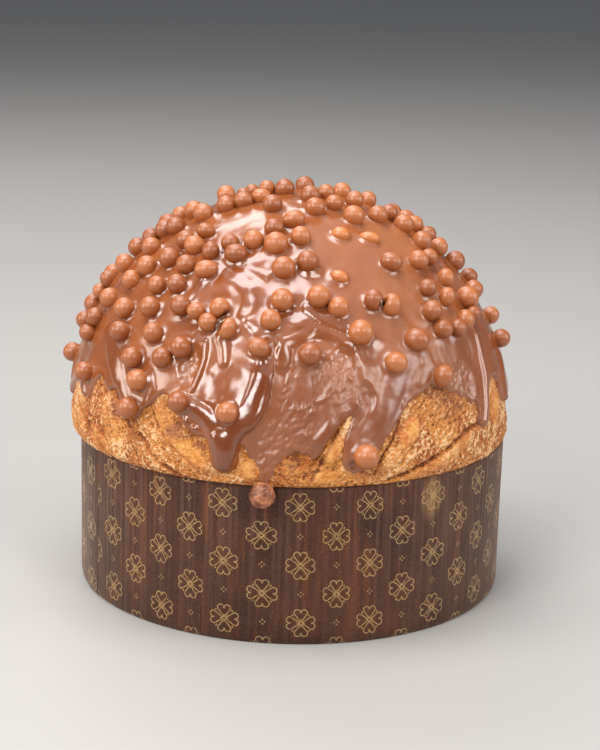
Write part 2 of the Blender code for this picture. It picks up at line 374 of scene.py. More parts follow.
def capped(points, triangles, ring, tip, upwards=True):
    """Adds a point and the triangles from a ring to it."""
    start, count = ring
    step = start + np.arange(count)
    after = np.roll(step, -1)
    sides = stacked(step, after, len(points)) if upwards else stacked(after, step, len(points))
    return np.vstack([points, tip]), np.vstack([triangles, sides])


# Materials

class Field:
    """A number or colour at each place of a material, worked out by nodes from plain arithmetic."""

    def __init__(self, build, socket):
        self.build = build
        self.socket = socket

    def act(self, operation, *others):
        return self.build.put("Math", 0, dict(enumerate((self, *others))), operation=operation)

    __add__ = partialmethod(act, "ADD")
    __sub__ = partialmethod(act, "SUBTRACT")
    __mul__ = partialmethod(act, "MULTIPLY")
    __truediv__ = partialmethod(act, "DIVIDE")
    __abs__ = partialmethod(act, "ABSOLUTE")
    most = partialmethod(act, "MAXIMUM")
    least = partialmethod(act, "MINIMUM")
    above = partialmethod(act, "GREATER_THAN")

    def apart(self, pitch):
        """Distance from the nearest multiple of the pitch, with a sign."""
        return self - (self / pitch).act("ROUND") * pitch

    def ramp(self, low, high, to_low=0.0, to_high=1.0):
        values = dict(enumerate((self, low, high, to_low, to_high)))
        return self.build.put("MapRange", 0, values, interpolation_type="SMOOTHSTEP")

    def below(self, edge, blur):
        """1 below the edge and 0 above it, with a soft step."""
        return self.ramp(edge - blur, edge + blur, 1.0, 0.0)


class Nodes:
    """Short calls for building a material's nodes."""

    def __init__(self, name):
        self.material = bpy.data.materials.new(name)
        self.material.use_nodes = True
        self.tree = self.material.node_tree
        self.shader = self.tree.nodes["Principled BSDF"]
        self.place = self.put("TexCoord", "Object", {})

    def feed(self, node, inputs):
        """Sets or links a node's inputs, by their names or numbers."""
        for key, value in inputs.items():
            socket = node.inputs[key]
            if isinstance(value, Field):
                self.tree.links.new(value.socket, socket)
            else:
                socket.default_value = (*value, 1) if socket.type == "RGBA" else value

    def put(self, kind, output, inputs, **settings):
        """A new node's output, as a field."""
        node = self.tree.nodes.new("ShaderNode" + kind)
        for key, value in settings.items():
            setattr(node, key, value)
        self.feed(node, inputs)
        return Field(self, node.outputs[output])

    def painted(self, name):
        return self.put("Attribute", "Fac", {}, attribute_name=name)

    def axis(self, name):
        return self.put("SeparateXYZ", name, {"Vector": self.place})

    def noise(self, scale, detail=2.0, roughness=0.5, stretch=None, output="Fac"):
        place = self.place
        if stretch:
            place = self.put("Mapping", 0, {"Vector": place, "Scale": stretch})
        inputs = {"Vector": place, "Scale": scale, "Detail": detail, "Roughness": roughness}
        return self.put("TexNoise", output, inputs)

    def layered(self, colour, *layers):
        """A colour with others laid over it, each by its share."""
        for share, over in layers:
            colour = self.put("Mix", 2, {0: share, 6: colour, 7: over}, data_type="RGBA")
        return colour

    def finish(self, colour, roughness, specular, bump=None, **others):
        """Sets the shader. A bump is a height, a strength and a distance."""
        inputs = {"Base Color": colour, "Roughness": roughness, "Specular IOR Level": specular}
        if bump:
            heights = dict(zip(("Height", "Strength", "Distance"), bump))
            inputs["Normal"] = self.put("Bump", 0, heights)
        self.feed(self.shader, inputs)
        self.feed(self.shader, {key.replace("_", " "): value for key, value in others.items()})
        return self.material


def chocolate_material():
    """Poured milk chocolate: glossy, with a thin rough film where it soaked into the crumb, painted shade on
    the thick flows and drips and painted sheen on the satin parts higher up.
    """
    build = Nodes("poured_chocolate")
    film, thick, satin = (build.painted(name) for name in ("film", "thick", "satin"))
    broad = build.noise(45.0, 3.0)
    fine = build.noise(420.0)
    # Painted sheen: the satin colour turns lighter higher up, where the broad sheen from above falls
    sheen_higher_up = build.axis("Z").ramp(0.085, 0.125)
    satin_tone_and_sheen = build.layered((0.205, 0.054, 0.014), (sheen_higher_up, (0.370, 0.130, 0.048)))
    colour = build.layered(
        (0.245, 0.063, 0.016),
        (broad.ramp(0.35, 0.7), (0.315, 0.093, 0.027)),
        (film * 0.7, (0.340, 0.105, 0.032)),
        # Painted shade: thick flows and drips darker, in place of their dark reflection
        (thick * 0.80, (0.135, 0.026, 0.005)),
        # Satin parts: their own duller tone low down, painted sheen higher up
        (satin * 0.6, satin_tone_and_sheen),
    )
    roughness = broad * 0.16 + 0.13 - thick * 0.07 + film * 0.10 + satin * 0.13
    return build.finish(
        colour, roughness, 0.95, (fine * 0.5 + broad, 0.12, 0.0006),
        Subsurface_Weight=0.15, Subsurface_Radius=(1.0, 0.35, 0.12), Subsurface_Scale=0.002,
    )


def ball_material():
    """Satin milk chocolate of the cereal balls, each a little different, with painted shade in their cracks.
    """
    build = Nodes("ball_chocolate")
    tone = build.painted("tone")
    cloud = build.noise(190.0, 3.0)
    fine = build.noise(900.0)
    colour = build.layered(
        (0.285, 0.073, 0.016),
        (tone.ramp(0.0, 1.0), (0.425, 0.128, 0.034)),
        (cloud.ramp(0.45, 0.75, 0.0, 0.25), (0.450, 0.155, 0.052)),
        (tone.ramp(1.0, 2.0, 0.0, 0.85), (0.540, 0.165, 0.036)),
        # Painted shade: dark inside the cracks
        (tone.ramp(0.0, -0.8, 0.0, 0.95), (0.060, 0.014, 0.005)),
    )
    return build.finish(colour, cloud * 0.22 + 0.25, 0.75, (fine * 0.4 + cloud, 0.15, 0.0005))


def drop_material():
    """Chocolate dragged through crumbs: rough and reddish, with pale flecks."""
    build = Nodes("rough_drop")
    lump = build.noise(300.0, 3.0, 0.6)
    speck = build.noise(900.0, 2.0, 0.6)
    colour = build.layered(
        (0.150, 0.040, 0.018),
        (lump.ramp(0.35, 0.65), (0.400, 0.145, 0.065)),
        (speck.ramp(0.60, 0.72, 0.0, 0.6), (0.720, 0.360, 0.140)),
    )
    return build.finish(colour, 0.34, 0.5, (speck, 0.6, 0.0006))


def crust_material():
    """Torn baked crust: cream on the raised threads as painted highlight, gold between, brown in the pits as
    painted shade, and brown in the stains.
    """
    build = Nodes("baked_crust")
    relief_shade_and_highlight, plate, stain = (build.painted(name) for name in ("relief_shade_and_highlight", "plate", "stain"))
    patch = build.noise(55.0, 4.0, 0.6)
    grain = build.noise(330.0, 4.0, 0.65)
    speck = build.noise(850.0, 3.0, 0.65)
    shift = build.noise(350.0, output="Color")
    bent = build.put("VectorMath", 0, {0: shift, 1: (0.0016,) * 3, 2: build.place}, operation="MULTIPLY_ADD")
    crumb = build.put("TexVoronoi", "Distance", {"Vector": bent, "Scale": 820.0})
    torn = plate * -0.85 + 1.0
    veins = (crumb - 0.42) * torn
    # Level carries the painted shade and highlight of the relief, with speck and veins
    level = relief_shade_and_highlight + (speck - 0.5) * torn * 0.6 + veins * 0.70
    middle = build.layered((0.450, 0.115, 0.014), (patch.ramp(0.38, 0.62), (0.680, 0.255, 0.046)))
    glaze = build.layered((0.580, 0.160, 0.017), (grain.ramp(0.35, 0.65), (0.900, 0.445, 0.115)))
    mottle = (stain + grain * 1.3 - 0.65 - level * 0.75).ramp(0.10, 0.50, 0.0, 0.9)
    # Painted shade: dark brown in the pits and folds; painted highlight: cream on the raised threads
    colour = build.layered(
        (0.200, 0.046, 0.008),
        (level.ramp(0.18, 0.48), middle),
        (level.ramp(0.66, 1.02), (0.910, 0.550, 0.265)),
        (plate * 0.76, glaze),
        (stain * 0.45, (0.430, 0.120, 0.030)),
        (mottle, (0.340, 0.105, 0.036)),
    )
    roughness = plate * -0.22 + 0.58 - mottle * 0.15
    return build.finish(colour, roughness, 0.5, (veins * 1.4 + speck, 0.85, 0.0010))


# The print, in millimetres: clovers in staggered columns with small marks between
PRINT_COLUMNS = 39
PRINT_PITCH = 2 * math.pi * CASE_RADIUS / MM / PRINT_COLUMNS
PRINT_ROW = 22.3
PRINT_BEARING = 2.13
PRINT_LEVEL = 53.3
PRINT_LEAN = 0.022
PRINT_WAVE = (0.5, 4.0, 7.66)
PRINT_LINE = 0.20
PRINT_BLUR = 0.07
SEAM_BEARING = -61.0
SEAM_SLIP = (5.2, -7.0)
RING = 0.62
MARK_SPREAD = 0.82
MARK_DOT = 0.30
SMUDGE = (38.5, 53.0, 3.4, 9.0)
# Strokes of half a petal: the two ends along and across it, and the two radii
PETAL = ((0.35, 0.0), (4.02, 1.24), 0.02, 1.22)
PETAL_HEART = ((1.15, 0.0), (3.15, 0.0), 0.2, 0.85)
DASH = ((2.95, 2.95), (3.15, 3.15), 0.2, 0.2)


def from_stroke(along, across, start, end, start_radius, end_radius):
    """Distance from a stroke whose radius grows from its start to its end."""
    way = (end[0] - start[0], end[1] - start[1])
    square = way[0] ** 2 + way[1] ** 2
    share = (along - start[0]) * (way[0] / square) + (across - start[1]) * (way[1] / square)
    share = share.most(0.0).least(1.0)
    off = from_point(along - start[0] - share * way[0], across - start[1] - share * way[1])
    return off - share * (end_radius - start_radius) - start_radius


def from_point(across, up):
    return (across * across + up * up).act("SQRT")


def clover(across, up):
    """Share of gold for a clover round (0, 0), folded eight times onto half a petal."""
    along = abs(across).most(abs(up))
    beside = abs(across).least(abs(up))
    petal = from_stroke(along, beside, *PETAL).least(from_stroke(along, beside, *PETAL_HEART))
    middle = from_point(across, up)
    outline = abs(petal).below(PRINT_LINE, PRINT_BLUR).least(middle.above(RING))
    dash = from_stroke(along, beside, *DASH).below(0.06, PRINT_BLUR)
    return outline.most(abs(middle - RING).below(PRINT_LINE, PRINT_BLUR)).most(dash)


def small_mark(across, up):
    """Share of gold for four dots round (0, 0)."""
    along = abs(across).most(abs(up)) - MARK_SPREAD
    beside = abs(across).least(abs(up))
    return from_point(along, beside).below(MARK_DOT, PRINT_BLUR)


def paper_print(degrees, level):
    """Share of gold at bearings in degrees and levels in millimetres."""
    size, crest, rate = PRINT_WAVE
    wave = ((degrees - crest) * math.radians(rate)).act("COSINE") * size
    past_seam = (degrees * -1.0).above(-SEAM_BEARING)
    leaning = degrees - PRINT_BEARING - wave + (level - PRINT_LEVEL) * PRINT_LEAN
    along = leaning * (PRINT_PITCH * PRINT_COLUMNS / 360) + past_seam * SEAM_SLIP[0]
    column = (along / PRINT_PITCH).act("ROUND")
    odd = abs((column * 0.5).apart(1.0)) * 2.0
    across = along - column * PRINT_PITCH
    up = level - PRINT_LEVEL + past_seam * SEAM_SLIP[1] + odd * (PRINT_ROW / 2)
    return clover(across, up.apart(PRINT_ROW)).most(small_mark(across, (up + PRINT_ROW / 2).apart(PRINT_ROW)))


def paper_material():
    """Brown baking paper with a gold print, grease that ran down it and shallow flutes, with painted sheen on
    the flutes and painted shade between them.
    """
    build = Nodes("case_paper")
    right, back, up = (build.axis(name) for name in "XYZ")
    degrees = right.act("ARCTAN2", back * -1.0) * (180 / math.pi)
    level = up / MM
    streak = build.noise(60.0, 3.0, 0.6, (5.0, 5.0, 0.35))
    flute = build.noise(60.0, stretch=(9.0, 9.0, 0.15))
    speck = build.noise(700.0)
    grain = build.noise(1500.0, 3.0, 0.7)
    cloud = build.noise(30.0, 4.0, 0.6)
    worn = build.noise(900.0).ramp(0.30, 0.55, 0.45, 0.95)
    gold = paper_print(degrees, level) * worn
    # Painted shade in the regular grooves between the flutes
    groove_shade = (degrees * math.radians(FLUTES)).act("COSINE")
    fade = up.ramp(0.0, 0.055, 0.35, 1.0)
    off_smudge = from_point((degrees - SMUDGE[0]) / SMUDGE[2], (level - SMUDGE[1]) / SMUDGE[3])
    smudge = off_smudge.below(0.85, 0.4) * flute.ramp(0.35, 0.60, 0.25, 0.75)
    colour = build.layered(
        (0.046, 0.0165, 0.0085),
        (cloud.ramp(0.38, 0.62), (0.076, 0.028, 0.0140)),
        # Painted sheen and painted shade along the flutes, stronger towards the rim
        (flute.ramp(0.48, 0.66, 0.0, 0.5) * fade, (0.140, 0.070, 0.048)),
        (flute.ramp(0.50, 0.36, 0.0, 0.4) * fade, (0.040, 0.015, 0.009)),
        (groove_shade.ramp(0.2, 1.0, 0.0, 0.3) * fade, (0.036, 0.013, 0.008)),
        (streak.ramp(0.53, 0.70, 0.0, 0.6) * fade, (0.190, 0.060, 0.018)),
        (grain.ramp(0.52, 0.70, 0.0, 0.40), (0.220, 0.090, 0.042)),
        (grain.ramp(0.48, 0.30, 0.0, 0.45), (0.030, 0.010, 0.006)),
        (smudge, (0.330, 0.190, 0.085)),
        (gold, (0.400, 0.250, 0.105)),
    )
    return build.finish(
        colour, gold * -0.12 + 0.52, 0.25, (flute * 2.0 + speck, 0.25, 0.0004),
        Sheen_Weight=0.22, Sheen_Roughness=0.4, Sheen_Tint=(1.0, 0.75, 0.55),
    )


# Balls: centres by pixel with their radius in pixels, or with two radii and the longer one's tilt in degrees
ROUND_BALLS = (
    (199, 206, 10), (209, 212.5, 10.3), (186, 212.5, 9), (171, 219.5, 10), (170, 225.7, 9.8),
    (181, 225.5, 10), (156, 235, 9.5), (140.8, 243.2, 9.8), (156.5, 245.2, 10), (190, 236.5, 10),
    (198, 242, 10.5), (172.5, 254, 10.7), (129, 262, 10), (151, 263, 10.5), (188.8, 261.2, 10.5),
    (114, 272, 9.5), (110, 275, 8.7), (135.2, 277.6, 10), (159.5, 282, 9.8), (179, 280.6, 10.5),
    (99, 288, 8), (110, 294.5, 10.3), (90, 300.8, 10), (126, 306, 11), (151.5, 304.5, 11),
    (182, 302.5, 10.8), (96, 320.5, 10), (86, 319.5, 9), (88.5, 327.5, 9), (120.5, 329.5, 10.7),
    (154, 331, 10.8), (71.5, 352.5, 9.8), (132, 357, 11), (162.3, 356.5, 10.7), (181, 345.8, 11),
    (82.7, 371.5, 10.3), (137, 380.2, 11.3), (127.5, 409, 11), (177.5, 402.3, 11.2),
    (209.5, 318.5, 9.8), (220, 306, 10.8), (271, 316.7, 10.8), (310, 352.3, 11.8), (227, 413.5, 11.2),
    (360.5, 330, 13), (282.5, 296.2, 11.8), (318.5, 292.5, 11.8), (338.5, 304, 11), (284, 263.7, 12),
    (307.3, 257.3, 11.3), (277, 240, 12.5), (275.3, 224.5, 10), (255.5, 236.3, 10.4),
    (300.5, 232.5, 10.5), (274.5, 204.7, 10.2), (313.5, 206, 10.4), (231.5, 201, 9.5),
    (230.5, 194, 9.7), (269.5, 188.5, 8.5), (257.5, 191.5, 7), (248, 194, 8), (286.3, 190.5, 10),
    (304, 184, 9.8), (308.8, 193, 10.2), (322.5, 194, 9), (338.5, 190, 9.2), (330.5, 203, 9),
    (350, 198, 9.5), (349.5, 215, 10.8), (363.5, 198, 9), (373.5, 211.2, 10.3), (390, 207, 9.5),
    (384, 210.5, 9), (398, 222.8, 10.6), (405.5, 215, 9), (410, 224, 9.5), (414, 219.5, 8),
    (425.5, 231, 9), (416.5, 239, 10.3), (434.5, 244, 9.5), (429, 238, 8), (415.5, 256, 10.4),
    (424, 255.5, 9), (451.5, 258.5, 10.3), (425.5, 284.5, 9.3), (466.5, 275, 9), (471.5, 287, 9.8),
    (464.2, 295.5, 11.7), (472.5, 310.5, 7.5), (494.5, 312.5, 9), (442.3, 326.8, 10.2), (457, 326, 9.5),
    (499, 338.5, 9.5), (366.8, 458.3, 13),
)
OVAL_BALLS = (
    (208.5, 265.5, 12, 9.5, 10), (197.5, 308, 10, 9, 0), (228, 325.7, 11.4, 9.6, 70),
    (259, 346, 11.8, 10, -20), (233, 239, 9.6, 9, 0), (238, 249.5, 12, 10, 0),
    (213.5, 247.7, 10.7, 9, 80), (210.5, 229, 10, 8, -10), (294, 216.5, 12, 9.5, 15),
    (247, 201.3, 10, 9, 0), (264.5, 196, 10, 8, 0), (388.5, 258, 11.7, 9.8, -15),
    (441.5, 276, 10, 9, 90), (444.5, 294, 10.5, 8.5, 75), (431, 308, 11, 10.2, 80),
    (464.5, 317.5, 11, 9.8, 80), (416, 337.8, 13.6, 12.2, -10), (396, 361.5, 12, 11, -20),
    (443.3, 375.5, 11.6, 11, 60), (373, 296.5, 11, 9.8, 80), (390, 301.5, 12, 10.5, 85),
)
SUNK_BALLS = ((368, 237, 11, 7, -8), (339.5, 233.5, 9.3, 8, -10), (339, 275.5, 9.2, 6.8, -20))
# Steps in depth of the balls near the outline, as shares of the room that leaves their places in the photo
DEPTH_STEPS = (-0.6, 0.9, 0.1, 0.7, -0.2, 1.0, 0.4)
DEPTH_ROOM = 0.0010
BALL_OFFSET = 0.0026
SUNK_OFFSET = 0.0010
BALL_RADIUS = 0.0041
HIDDEN_BALLS = 92
HIDDEN_LEVELS = (0.083, 0.1538)
BALL_SPACING = 0.0080
TOUCHING = 0.91
# Cracks where two balls broke open, pushed in and painted dark as shade: the two ends in pixels and the half
# width
CRACKS = (((217, 329), (220.5, 320), 1.9), ((220.5, 320), (228, 312.5), 1.9), ((381, 305.5), (386, 298), 1.0))

Ball = namedtuple("Ball", "centre sizes tilt offset oval")


def spread(centres, offset, first):
    """Moves balls near the outline a little to and fro in depth, so that they don't stand in one row."""
    facing = np.abs((dome_normal(*polar_of(centres)) * unit(CAMERA_PLACE - centres)).sum(axis=1))
    share = np.array(DEPTH_STEPS)[(first + np.arange(len(centres))) % len(DEPTH_STEPS)]
    moved = centres + (DEPTH_ROOM / np.maximum(facing, 0.09) * share)[:, None] * CAMERA_AHEAD
    return np.where((facing < 0.5)[:, None], dome_points(*polar_of(moved), offset), centres)


def placed_balls():
    """Every ball that the camera sees."""
    balls = []
    for rows, offset in ((ROUND_BALLS, BALL_OFFSET), (OVAL_BALLS, BALL_OFFSET), (SUNK_BALLS, SUNK_OFFSET)):
        bearing, height, ahead = on_dome([row[:2] for row in rows], offset)
        centres = spread(dome_points(bearing, height, offset), offset, len(balls))
        for row, centre, far in zip(rows, centres, ahead):
            oval = len(row) > 3
            wide, tall, tilt = row[2:] if oval else (row[2], row[2], 0)
            sizes = np.array((wide, tall)) * far / FOCAL_PIXELS
            balls.append(Ball(centre, sizes, math.radians(tilt), offset, oval))
    return balls


def peeks_out(centre, radius, seen_pixels, seen_radii):
    """Whether a ball behind the dome would show beside the ones that the camera sees."""
    turn = np.arange(16)[:, None] * math.pi / 8
    pixels = pixels_of(centre + radius * 0.97 * (np.cos(turn) * CAMERA_RIGHT + np.sin(turn) * CAMERA_UP))
    covered = (length(pixels[:, None] - seen_pixels) < seen_radii).any(axis=1)
    rays = pixel_rays(pixels[~covered])
    inside = [beyond_dome(CAMERA_PLACE + rays * step) < 0.0007 for step in np.linspace(0.62, 0.84, 45)]
    return len(rays) > 0 and not np.any(inside, axis=0).all()


def hidden_balls(seen):
    """Balls by a seeded draw over the side that the camera doesn't see."""
    draw = random.Random(SEED + 2)
    centres = [ball.centre for ball in seen]
    seen_pixels = pixels_of(np.array(centres))
    seen_radii = np.array([ball.sizes.min() for ball in seen]) * FOCAL_PIXELS / 0.74
    found = []
    while len(found) < HIDDEN_BALLS:
        bearing = draw.uniform(-math.pi, math.pi)
        height = draw.uniform(*HIDDEN_LEVELS)
        radius = BALL_RADIUS + draw.uniform(-0.0003, 0.0004)
        centre = dome_points(bearing, height, BALL_OFFSET)
        facing = dome_normal(bearing, height) @ unit(CAMERA_PLACE - centre)
        above_edge = height - float(back_edge(np.degrees(bearing)))
        if facing > -0.03 or above_edge < 0.008:
            continue
        if facing > -0.42 and peeks_out(centre, radius, seen_pixels, seen_radii):
            continue
        if draw.random() > smooth_step((above_edge - 0.004) / 0.014) * 0.9 + 0.1:
            continue
        if length(np.array(centres) - centre).min() > BALL_SPACING:
            centres.append(centre)
            stretch = draw.uniform(0.88, 1.0)
            sizes = np.array((radius, radius * stretch))
            found.append(Ball(centre, sizes, draw.uniform(0, 3.1), BALL_OFFSET, stretch < 0.92))
    return found


def settle(balls):
    """Moves balls that run into each other apart along the dome."""
    centres = np.array([ball.centre for ball in balls])
    sizes = np.array([ball.sizes.mean() for ball in balls])
    offsets = np.array([ball.offset for ball in balls])
    itself = np.eye(len(balls))
    wanted = (sizes[:, None] + sizes) * TOUCHING
    for _ in range(30):
        gap = centres[:, None] - centres
        distance = length(gap) + itself
        push = np.clip(wanted - distance, 0, None) * (1 - itself)
        centres += (gap / distance[..., None] * push[..., None] * 0.45).sum(axis=1)
        centres = dome_points(*polar_of(centres), offsets)
    return [ball._replace(centre=centre) for ball, centre in zip(balls, centres)]


def ball_shape(detail):
    mesh = bmesh.new()
    bmesh.ops.create_icosphere(mesh, subdivisions=detail, radius=1)
    points = np.array([vertex.co for vertex in mesh.verts])
    faces = np.array([[vertex.index for vertex in face.verts] for face in mesh.faces])
    mesh.free()
    return points, faces


def crack_share(points):
    """How much a crack opens a ball at each of its points, and so how much painted shade darkens it there."""
    pixels = pixels_of(points)
    opened = [smooth_step(1.6 - to_line(pixels, np.array(ends))[0] / width) for *ends, width in CRACKS]
    return np.max(opened, axis=0)


def ball_axes(ball):
    """A ball's long way as the camera sees it, laid along the dome, and the two ways across it."""
    normal = dome_normal(*polar_of(ball.centre[None]))[0]
    to_camera = unit(CAMERA_PLACE - ball.centre)
    flat = unit(np.cross(to_camera, np.cross(CAMERA_RIGHT, to_camera)))
    long_way = flat * math.cos(ball.tilt) + np.cross(to_camera, flat) * math.sin(ball.tilt)
    if length(np.cross(long_way, normal)) < 0.2:
        long_way = np.cross(normal, CAMERA_RIGHT)
    side = unit(np.cross(long_way, normal))
    third = unit(np.cross(side, long_way))
    return np.array((np.cross(third, side), side, third))


def make_balls(name, balls, material):
    shape, triangles = ball_shape(3)
    draw = np.random.default_rng(SEED + 5)
    points = []
    tones = []
    for ball in balls:
        lumps = 1 + 0.05 * noise(shape * 1.1 + draw.random(3) * 50, SEED)
        lumps += 0.02 * noise(shape * 2.6 + draw.random(3) * 50, SEED + 1)
        longest, shortest = ball.sizes
        solid = shape * lumps[:, None] * (longest, shortest, shortest) @ ball_axes(ball)
        crack = crack_share(ball.centre + solid)
        points.append(ball.centre + solid * (1 - 0.30 * crack)[:, None])
        tone = 2.0 if ball.offset == SUNK_OFFSET else draw.random()
        # Painted shade: a crack's points get a negative value, which the material turns dark
        tones.append(tone * (1 - crack) - crack)
    faces = np.concatenate([triangles + index * len(shape) for index in range(len(balls))])
    make_piece(name, np.concatenate(points), faces, material, *COATING, tone=np.concatenate(tones))


# Coating: where its lower edge runs, by pixel from left to right
EDGE_PIXELS = (
    (61, 372), (61, 388), (63, 399), (67, 402), (70, 393), (73, 383), (77, 379), (80, 388), (83, 397),
    (87, 396), (90, 388), (95, 380), (100, 374), (103, 381), (105, 388), (109, 391), (113, 388),
    (117, 393), (119, 402), (119, 412), (124, 419), (131, 420), (137, 417), (140, 409), (146, 407),
    (152, 403), (157, 396), (164, 392), (168, 397), (170, 405), (172, 412), (177, 416), (181, 424),
    (189, 433), (196, 436.5), (203, 436.5), (207, 440), (208.5, 449), (208.5, 459), (211.5, 467.5),
    (217, 472.5), (223.5, 474), (230.5, 472.5), (236, 467), (238.5, 459), (239, 450), (241, 446),
    (243, 451), (246, 453), (247, 459), (253, 460), (254, 467), (259, 471), (258, 480), (262, 491),
    (267, 488), (269, 480), (275, 477), (276, 468), (281, 466), (284, 458), (290, 458), (295, 452),
    (301, 458), (306, 455), (311, 461), (317, 462), (322, 453), (330, 440), (337, 430), (345, 421),
    (354, 413), (350, 427), (345, 440), (343, 455), (343, 468), (352, 476), (361, 474), (369, 472),
    (376, 465), (380, 452), (386, 439), (394, 430), (399, 420), (405, 411), (409, 404), (416, 398),
    (426, 391), (430, 384), (436, 387), (443, 389), (448, 386), (452, 394), (458, 391), (463, 401),
    (468, 397), (473, 405), (477, 399), (479, 408), (480, 420), (484, 427), (488, 426), (490, 417),
    (488, 403), (489, 388), (493, 374), (498, 378), (500, 388), (503, 400), (506, 401), (508, 392),
)
BACK_EDGE_LEVEL = 0.083
BACK_DRIPS = (
    (100, 5, 0.007), (118, 4, 0.012), (139, 6, 0.005), (158, 4, 0.01), (181, 6, 0.013), (203, 4, 0.006),
    (222, 5, 0.01), (243, 4, 0.004), (262, 5, 0.011),
)


def back_edge(bearing):
    """Height of the edge at bearings in degrees, on the side that the camera doesn't see."""
    turn = np.radians(bearing)
    height = BACK_EDGE_LEVEL + 0.002 * np.sin(turn * 5) + 0.0012 * np.sin(turn * 11 + 1)
    for middle, half_width, drop in BACK_DRIPS:
        away = np.abs((bearing - middle + 180) % 360 - 180) / half_width
        height = height - drop * np.exp(-(away**3))
    return height


def edge_line():
    """The coating's edge all round, as flat places in order of bearing, with its corners cut twice."""
    bearing, height, _ = on_dome(EDGE_PIXELS)
    front = unrolled(bearing, height)
    round_back = np.arange(math.degrees(bearing[-1]) + 3, math.degrees(bearing[0]) + 358, 1.5)
    back = unrolled(np.radians(round_back), back_edge(round_back))
    line = np.vstack([front, back, front[:1] + (LAP, 0)])
    for _ in range(2):
        before, after = line[:-1], line[1:]
        cut = np.stack([before * 0.75 + after * 0.25, before * 0.25 + after * 0.75], axis=1).reshape(-1, 2)
        line = np.vstack([line[:1], cut, line[-1:]])
    return line


def edge_distance(places, line):
    """Signed distance from the coating's edge, positive where the coating lies."""
    found = [to_line(places, line + (turn, 0)) for turn in (-LAP, 0, LAP)]
    distance = np.min([near for near, _ in found], axis=0)
    return np.where(sum(below for _, below in found) % 2 == 1, distance, -distance)


# Flows on the coating: height in millimetres, then pixels along the middle with half widths in pixels
FLOWS = (
    (1.7, (
        (266, 346, 10), (263, 366, 11), (257, 388, 12), (250, 408, 13), (241, 424, 14), (230, 438, 15),
        (224, 450, 14.5), (223.5, 460, 14.5))),
    (1.4, ((180, 402, 10), (193, 408, 11), (204, 415, 12), (215, 427, 13), (222, 440, 13))),
    (0.4, ((186, 397, 5), (200, 400, 5), (214, 404, 5), (224, 405, 4))),
    (1.0, ((185, 421, 6), (185.5, 422, 6))),
    (1.0, ((194, 428, 6), (194.5, 429, 6))),
    (2.5, ((221, 438, 14), (223, 449, 15), (223.5, 460, 15))),
    (0.6, ((206, 343, 5), (204, 358, 5), (199, 375, 5), (192, 389, 4))),
    (0.7, ((222, 338, 9), (225, 349, 10), (225, 362, 8))),
    (0.6, ((226, 274, 12), (240, 280, 13), (250, 291, 14), (251, 303, 14), (245, 314, 12))),
    (0.5, ((205, 280, 9), (197, 290, 9), (190, 298, 8))),
    (0.5, ((222, 255, 8), (238, 261, 9), (253, 267, 9), (268, 276, 8))),
    (0.6, ((296, 268, 8), (307, 274, 9), (320, 272, 8))),
    (0.9, ((306, 309, 9), (323, 319, 10), (340, 326, 10), (352, 332, 9))),
    (0.5, ((250, 322, 8), (261, 333, 8), (272, 339, 8), (283, 343, 7))),
    (0.6, (
        (283, 345, 9), (293, 341, 9), (303, 336, 9), (314, 331, 9), (326, 332, 9), (338, 339, 9),
        (350, 349, 8))),
    (0.6, ((286, 318, 10), (299, 322, 12), (312, 326, 10))),
    (0.9, ((284, 352, 12), (282, 364, 11))),
    (0.4, ((318, 401, 4), (332, 393, 4.5), (344, 386, 4))),
    (0.9, ((358, 403, 10), (344, 414, 10), (331, 428, 10), (319, 443, 10), (309, 454, 9))),
    (0.7, ((303, 434, 5), (305, 437, 4.5))),
    (0.7, ((400, 330, 24), (396, 370, 22), (385, 405, 18), (370, 432, 14), (358, 455, 12))),
    (0.7, ((112, 330, 16), (115, 360, 14), (122, 385, 10), (127, 405, 8))),
    (0.7, ((72, 350, 7), (68, 380, 6), (66, 394, 6))),
    (0.7, ((84, 372, 8), (84, 392, 5.5))),
    (0.9, ((474, 330, 9), (483, 365, 7), (487, 400, 6), (486, 420, 6))),
    (1.0, ((498, 355, 8), (503, 385, 7), (505, 397, 6))),
    (0.4, ((262, 465, 8), (262, 482, 7))),
    (0.6, ((150, 375, 10), (152, 390, 9), (148, 402, 7))),
    (0.6, ((420, 345, 14), (428, 365, 11), (420, 382, 9))),
)
# Steep sides of flows: height, roundness and reach in millimetres, then pixels along the side. The flow lies
# to the right of the way that the points go.
LEDGES = (
    (2.3, 1.3, 11, (
        (280, 352), (276, 364), (273.5, 378), (271.5, 390), (269, 403), (263, 418.5), (255, 429),
        (245, 435.5), (240, 443), (237, 455), (232, 467))),
    (0.6, 1.0, 8, (
        (384, 390), (372, 397), (358, 406), (347, 417), (338, 428), (330, 440), (323, 452), (316, 461))),
)
# Dips in the coating: pixel, two radii in pixels, depth in millimetres
DIPS = (
    (224, 384, 19, 17, 0.4), (300, 396, 24, 50, 1.0), (262, 452, 14, 14, 0.6), (410, 400, 10, 10, 0.3),
    (250, 253, 10, 8, 0.6), (285, 310, 10, 6, 0.5), (325, 345, 14, 8, 0.5), (372, 352, 14, 12, 0.4),
)
# Where the coating is a thin film on rough crumb: pixel, two radii in pixels, and how thin
FILMS = (
    (190, 363, 11, 19, 0.9), (346, 374, 16, 24, 0.6), (366, 396, 8, 14, 0.9), (258, 452, 20, 22, 0.6),
    (462, 384, 22, 20, 0.9), (170, 430, 16, 12, 1.0), (112, 402, 8, 14, 0.9), (340, 405, 14, 22, 0.4),
    (276, 446, 22, 30, 0.9), (362, 468, 16, 9, 0.9), (303, 452, 16, 10, 0.7), (300, 425, 16, 10, 0.5),
    (90, 392, 14, 12, 0.4), (322, 372, 12, 16, 0.5),
)
# Where it runs smooth, without ribs: pixel, two radii in pixels, and how much
SMOOTH = ((238, 382, 36, 44, 1.0), (222, 440, 24, 34, 1.0), (300, 400, 40, 50, 0.7))
